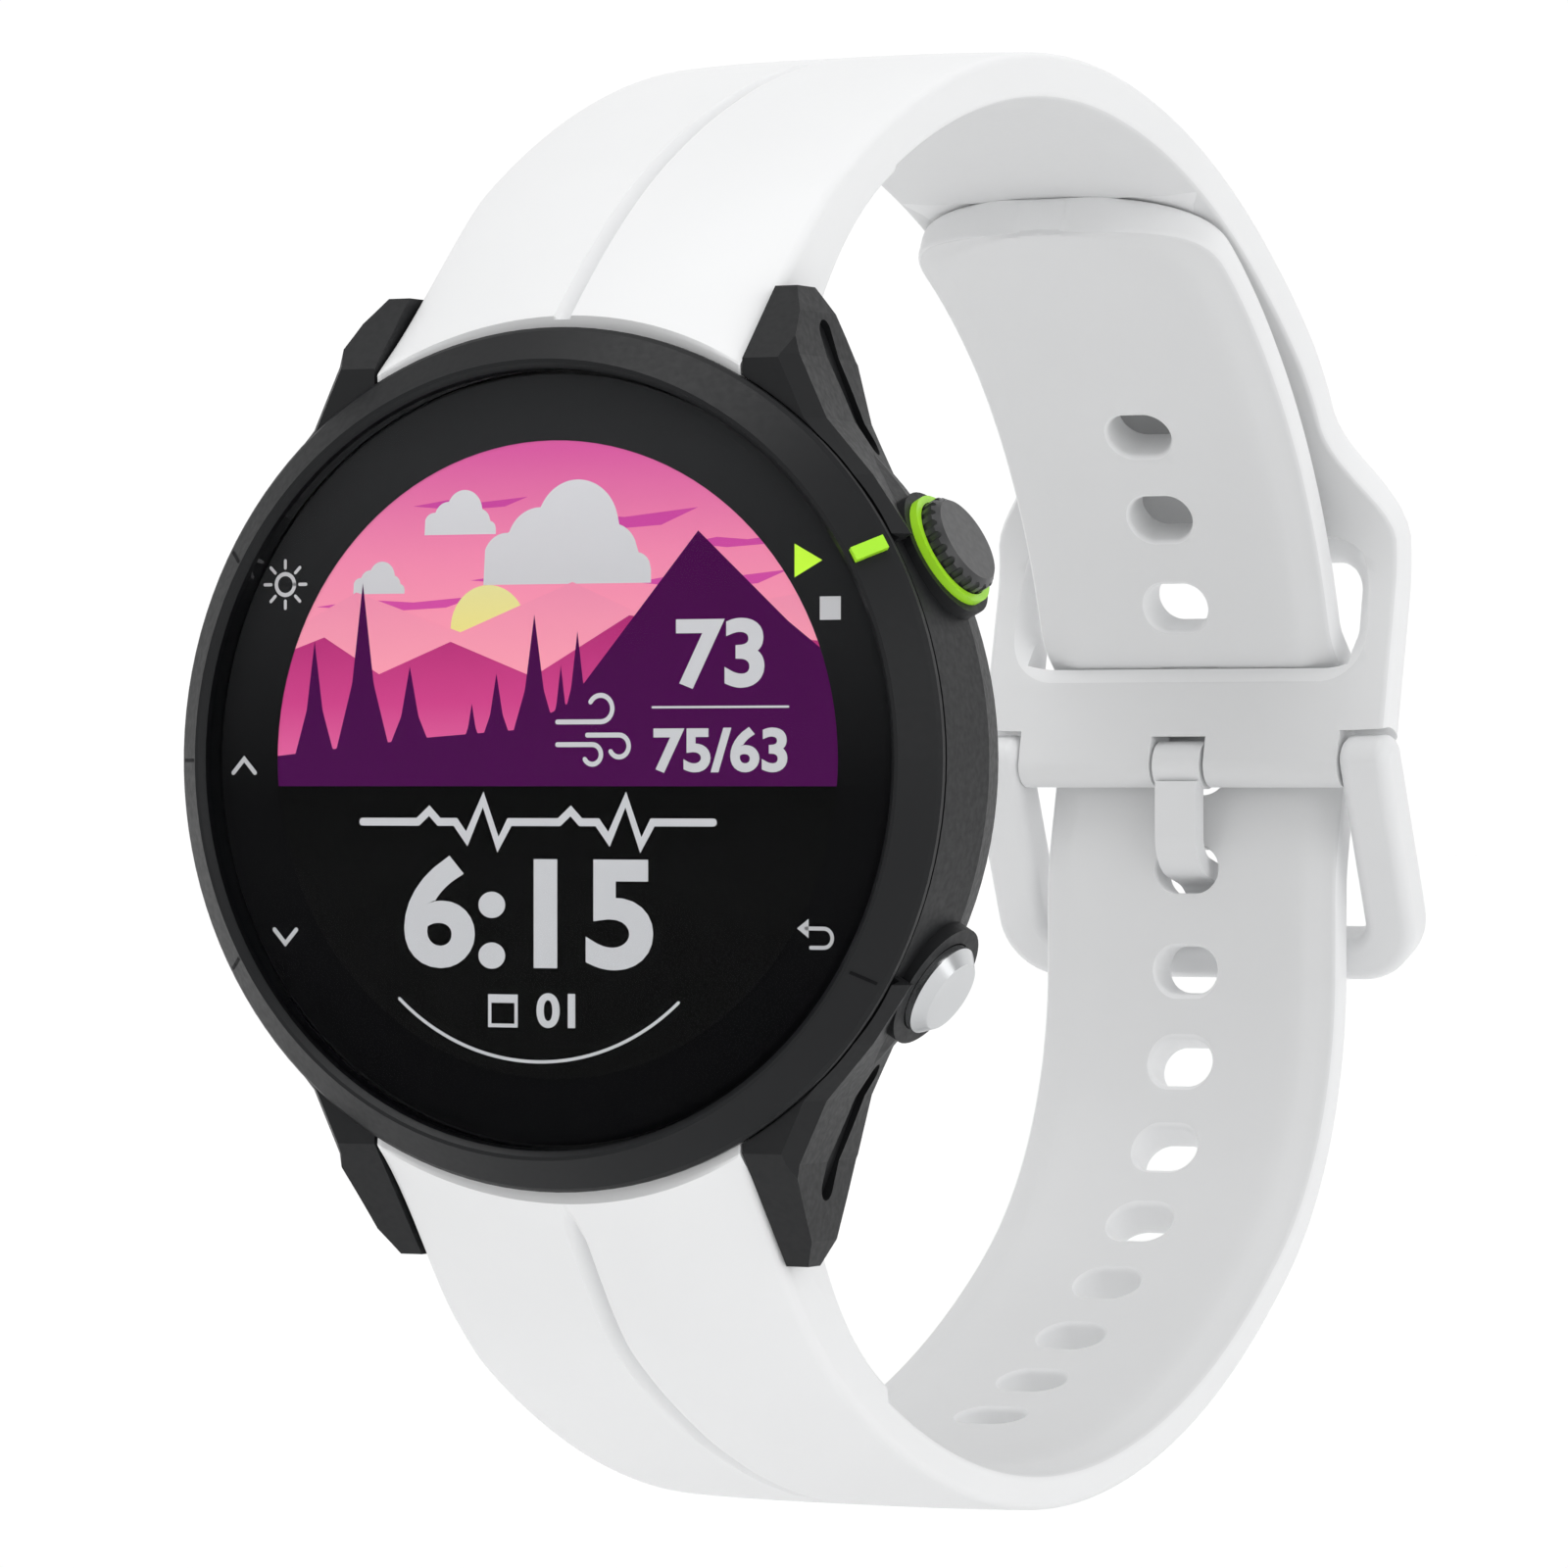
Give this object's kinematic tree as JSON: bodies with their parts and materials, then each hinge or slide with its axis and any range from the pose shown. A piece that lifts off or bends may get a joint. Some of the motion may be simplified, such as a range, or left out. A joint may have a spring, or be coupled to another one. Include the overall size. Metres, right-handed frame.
{
  "type": "running watch",
  "caption": "Round running watch with a polymer case, side push buttons, glass-covered display and a two-part silicone strap closed by a pin buckle",
  "frame": {"origin": "middle of the flat sensor window on the back of the case, where the watch rests on the wrist", "axes": "+Y out of the case back into the wrist, +Z to 12 o'clock, +X to 3 o'clock; the dial faces -Y"},
  "size_m": [0.047, 0.0914, 0.0834],
  "materials": {
    "case_polymer": "fine matt grain",
    "bezel_polymer": "satin with turned front ring",
    "green_accent": "satin",
    "lens_glass": "polished",
    "seal_rubber": "matt",
    "display_black": "gloss panel with coloured image",
    "frame_polymer": "matt",
    "antenna_gold": "plated",
    "board_green": "solder mask",
    "shield_tin": "tin plated",
    "battery_foil": "foil pouch",
    "sounder_black": "matt",
    "flex_amber": "film",
    "back_polymer": "fine matt grain",
    "window_glass": "dark tinted, polished",
    "sensor_parts": "clear epoxy",
    "screw_steel": "plain",
    "start_black": "satin with grip notches",
    "button_steel": "polished",
    "strap_silicone": "soft matt",
    "bar_steel": "plain",
    "buckle_polymer": "satin"
  },
  "bodies": {
    "case": {"case_housing": "case_polymer", "bezel_ring": "bezel_polymer", "start_marker": "green_accent", "start_button_ring": "green_accent", "cover_lens": "lens_glass", "lens_gasket": "seal_rubber", "case_back_gasket": "seal_rubber", "display_module": "display_black", "inner_frame": "frame_polymer", "charging_insert": "frame_polymer", "gnss_antenna": "antenna_gold", "charging_contacts": "antenna_gold", "main_board": "board_green", "sensor_board": "board_green", "shield_can": "shield_tin", "vibration_motor": "shield_tin", "button_switches": "shield_tin", "battery": "battery_foil", "sounder": "sounder_black", "button_flex": "flex_amber", "case_back": "back_polymer", "sensor_window": "window_glass", "sensor_emitters": "sensor_parts", "case_back_screws": "screw_steel"},
    "hole_strap": {"hole_strap": "strap_silicone", "bar_tube_bottom": "bar_steel", "bar_tip_bottom": "bar_steel", "bar_spring_bottom": "bar_steel"},
    "buckle_strap": {"buckle_strap": "strap_silicone", "buckle_pin": "bar_steel", "bar_tube_top": "bar_steel", "bar_tip_top": "bar_steel", "bar_spring_top": "bar_steel"},
    "release_top": {"release_knob_top": "bar_steel"},
    "release_bottom": {"release_knob_bottom": "bar_steel"},
    "buckle_frame": {"buckle_frame": "buckle_polymer"},
    "tongue": {"tongue": "buckle_polymer"},
    "start_button": {"start_button": "start_black", "start_button_seal": "seal_rubber", "start_button_clip": "screw_steel"},
    "back_button": {"back_button": "button_steel", "back_button_seal": "seal_rubber", "back_button_clip": "screw_steel"},
    "light_button": {"light_button": "button_steel", "light_button_seal": "seal_rubber", "light_button_clip": "screw_steel"},
    "up_button": {"up_button": "button_steel", "up_button_seal": "seal_rubber", "up_button_clip": "screw_steel"},
    "down_button": {"down_button": "button_steel", "down_button_seal": "seal_rubber", "down_button_clip": "screw_steel"}
  },
  "joints": [
    {"name": "start_press", "type": "slide", "parent": "case", "child": "start_button", "axis": [-0.8829, 0, -0.4695], "range_m": [0, 0.00065], "stiffness_N_per_m": 2500, "springref_m": -0.0003, "deforming": ["button_switches"]},
    {"name": "back_press", "type": "slide", "parent": "case", "child": "back_button", "axis": [-0.8572, 0, 0.515], "range_m": [0, 0.00065], "stiffness_N_per_m": 2500, "springref_m": -0.0003, "deforming": ["button_switches"]},
    {"name": "light_press", "type": "slide", "parent": "case", "child": "light_button", "axis": [0.866, 0, -0.5], "range_m": [0, 0.00065], "stiffness_N_per_m": 2500, "springref_m": -0.0003, "deforming": ["button_switches"]},
    {"name": "up_press", "type": "slide", "parent": "case", "child": "up_button", "axis": [1, 0, 0], "range_m": [0, 0.00065], "stiffness_N_per_m": 2500, "springref_m": -0.0003, "deforming": ["button_switches"]},
    {"name": "down_press", "type": "slide", "parent": "case", "child": "down_button", "axis": [0.866, 0, 0.5], "range_m": [0, 0.00065], "stiffness_N_per_m": 2500, "springref_m": -0.0003, "deforming": ["button_switches"]},
    {"name": "hole_strap_hinge", "type": "hinge", "parent": "case", "child": "hole_strap", "pos_m": [0, -0.0052, -0.0223], "axis": [-1, 0, 0], "range_deg": [0, 34], "deforming": ["hole_strap"]},
    {"name": "buckle_strap_hinge", "type": "hinge", "parent": "case", "child": "buckle_strap", "pos_m": [0, -0.0052, 0.0223], "axis": [1, 0, 0], "range_deg": [0, 34], "deforming": ["hole_strap"]},
    {"name": "buckle_frame_hinge", "type": "hinge", "parent": "buckle_strap", "child": "buckle_frame", "pos_m": [0, 0.0712, -0.0001], "axis": [1, 0, 0], "range_deg": [0, 50], "deforming": ["hole_strap"]},
    {"name": "tongue_hinge", "type": "hinge", "parent": "buckle_strap", "child": "tongue", "pos_m": [0, 0.0712, -0.0001], "axis": [1, 0, 0], "range_deg": [0, 70], "deforming": ["hole_strap"]},
    {"name": "release_top_slide", "type": "slide", "parent": "buckle_strap", "child": "release_top", "axis": [-1, 0, 0], "range_m": [0, 0.0014], "stiffness_N_per_m": 400, "springref_m": -0.001, "deforming": ["bar_spring_top", "hole_strap"]},
    {"name": "release_bottom_slide", "type": "slide", "parent": "hole_strap", "child": "release_bottom", "axis": [-1, 0, 0], "range_m": [0, 0.0014], "stiffness_N_per_m": 400, "springref_m": -0.001, "deforming": ["bar_spring_bottom"]}
  ],
  "couplings": [
    {"joint": "buckle_frame_hinge", "follows": "hole_strap_hinge", "ratio": 1.45},
    {"joint": "tongue_hinge", "follows": "hole_strap_hinge", "ratio": 1.9}
  ]
}
